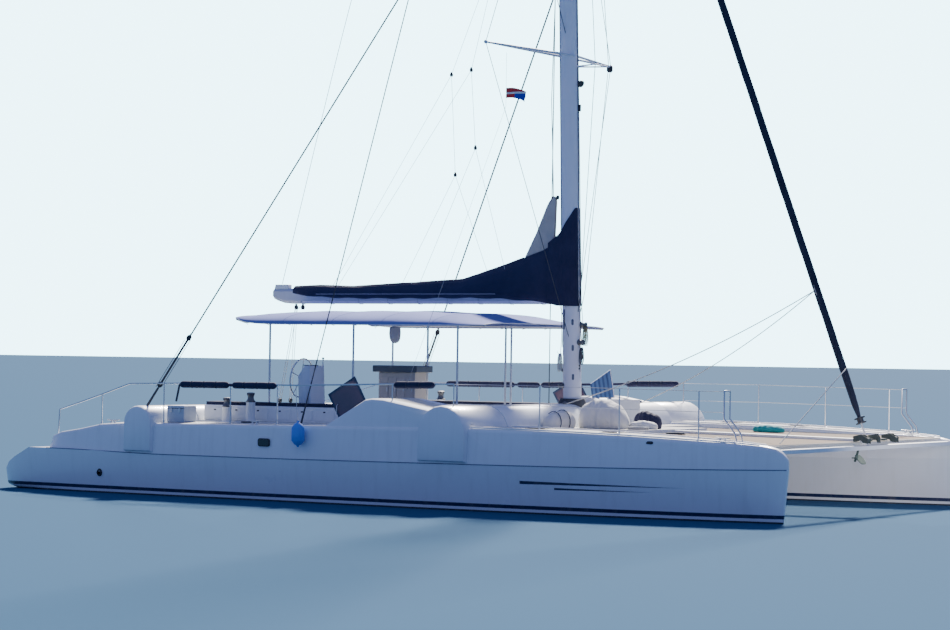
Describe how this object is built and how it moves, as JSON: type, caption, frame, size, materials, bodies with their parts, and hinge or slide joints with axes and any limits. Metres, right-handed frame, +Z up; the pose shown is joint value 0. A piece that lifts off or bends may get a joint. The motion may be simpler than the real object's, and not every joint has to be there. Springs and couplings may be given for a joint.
{
  "type": "sailing catamaran",
  "caption": "Large open day-sailing catamaran afloat: two slim hulls, bridge deck with canopy and bar, bow nets, raked mast with boom under cover and furled headsail.",
  "frame": {"origin": "amidships on the centreline, at the waterline", "axes": "+X to the bows, +Y to port, +Z up the mast"},
  "size_m": [20.07, 11.2, 28.05],
  "materials": {
    "gelcoat": "glossy white gelcoat over glass fibre",
    "deck_paint": "beige non-slip paint",
    "navy_cloth": "navy acrylic canvas",
    "canopy_cloth": "white coated canvas",
    "sail_cloth": "grey-white woven sailcloth",
    "net": "beige woven net",
    "steel": "polished stainless steel",
    "mast_paint": "light grey-white paint on aluminium",
    "bronze": "cast bronze",
    "smoked_acrylic": "smoked acrylic sheet",
    "dark_plastic": "dark moulded plastic",
    "grey_plastic": "grey moulded plastic",
    "antifouling": "dark blue antifouling paint"
  },
  "bodies": {
    "root": {"hull_starboard": "gelcoat", "hull_port": "gelcoat", "deck_starboard": "gelcoat", "deck_port": "gelcoat", "main_beam": "gelcoat", "aft_beam": "gelcoat", "front_beam": "gelcoat", "centre_beam": "gelcoat", "helm_console": "gelcoat", "foredeck_locker": "gelcoat", "bridge_deck": "deck_paint", "bar_counter": "deck_paint", "bench_starboard": "deck_paint", "bench_port": "deck_paint", "mast_cover": "navy_cloth", "bench_cushion_starboard": "navy_cloth", "bench_cushion_port": "navy_cloth", "rail_pad_starboard_aft": "navy_cloth", "rail_pad_starboard_fore": "navy_cloth", "rail_pad_port_aft": "navy_cloth", "rail_pad_port_fore": "navy_cloth", "canopy": "canopy_cloth", "sail_bag": "canopy_cloth", "trampoline_starboard": "net", "trampoline_port": "net", "bow_rollers": "steel", "forestay": "steel", "cap_shroud_starboard": "steel", "cap_shroud_port": "steel", "runner_starboard": "steel", "runner_port": "steel", "gooseneck": "steel", "canopy_frame": "steel", "guard_rail_starboard": "steel", "guard_rail_port": "steel", "mast": "mast_paint", "lower_spreader_starboard": "mast_paint", "lower_spreader_port": "mast_paint", "upper_spreader_starboard": "mast_paint", "upper_spreader_port": "mast_paint", "shaft_bracket_starboard": "bronze", "shaft_bracket_port": "bronze", "mast_step": "dark_plastic", "bar_top": "dark_plastic", "deck_box": "grey_plastic", "keel_starboard": "antifouling", "keel_port": "antifouling"},
    "boom": {"boom": "mast_paint", "sail_cover": "navy_cloth", "sail_head": "sail_cloth"},
    "rudder_starboard": {"rudder_starboard": "antifouling"},
    "rudder_port": {"rudder_port": "antifouling"},
    "helm": {"helm_wheel": "steel"},
    "propeller_starboard": {"propeller_starboard": "bronze"},
    "propeller_port": {"propeller_port": "bronze"},
    "lid_starboard": {"companionway_lid_starboard": "smoked_acrylic"},
    "lid_port": {"companionway_lid_port": "smoked_acrylic"},
    "locker_lid": {"locker_lid": "grey_plastic"},
    "furler": {"furler_drum": "dark_plastic", "headsail": "navy_cloth"}
  },
  "joints": [
    {"name": "boom_swing", "type": "hinge", "parent": "root", "child": "boom", "pos_m": [2.09538, 0, 4.675], "axis": [-0.025, 0, 0.9997], "range_deg": [-30, 30]},
    {"name": "rudder_starboard_turn", "type": "hinge", "parent": "root", "child": "rudder_starboard", "pos_m": [-8.15, -4.55, -0.6], "axis": [0, 0, 1], "range_deg": [-35, 35]},
    {"name": "rudder_port_turn", "type": "hinge", "parent": "root", "child": "rudder_port", "pos_m": [-8.15, 4.55, -0.6], "axis": [0, 0, 1], "range_deg": [-35, 35]},
    {"name": "helm_turn", "type": "hinge", "parent": "root", "child": "helm", "pos_m": [-2.96, -2.9, 2.7], "axis": [0.9928, 0, -0.1197], "range_deg": [-541, 541]},
    {"name": "propeller_starboard_spin", "type": "hinge", "parent": "root", "child": "propeller_starboard", "pos_m": [-7.35, -4.55, -0.83], "axis": [0.9929, 0, 0.1191], "continuous": true},
    {"name": "propeller_port_spin", "type": "hinge", "parent": "root", "child": "propeller_port", "pos_m": [-7.35, 4.55, -0.83], "axis": [0.9929, 0, 0.1191], "continuous": true},
    {"name": "lid_starboard_fold", "type": "hinge", "parent": "root", "child": "lid_starboard", "pos_m": [-0.19485, -4.91, 2.00328], "axis": [0.8633, 0, 0.5047], "range_deg": [-90, 0]},
    {"name": "lid_port_fold", "type": "hinge", "parent": "root", "child": "lid_port", "pos_m": [-0.19485, 4.91, 2.00328], "axis": [-0.8633, 0, -0.5047], "range_deg": [-90, 0]},
    {"name": "locker_lid_fold", "type": "hinge", "parent": "root", "child": "locker_lid", "pos_m": [3.396, 0, 2.344], "axis": [0, 1, 0], "range_deg": [-10, 99]},
    {"name": "furler_turn", "type": "hinge", "parent": "root", "child": "furler", "pos_m": [9.84, 0, 1.505], "axis": [-0.3517, 0, 0.9361], "continuous": true}
  ],
  "couplings": [
    {"joint": "rudder_port_turn", "follows": "rudder_starboard_turn", "ratio": 1},
    {"joint": "helm_turn", "follows": "rudder_starboard_turn", "ratio": 15.429}
  ]
}
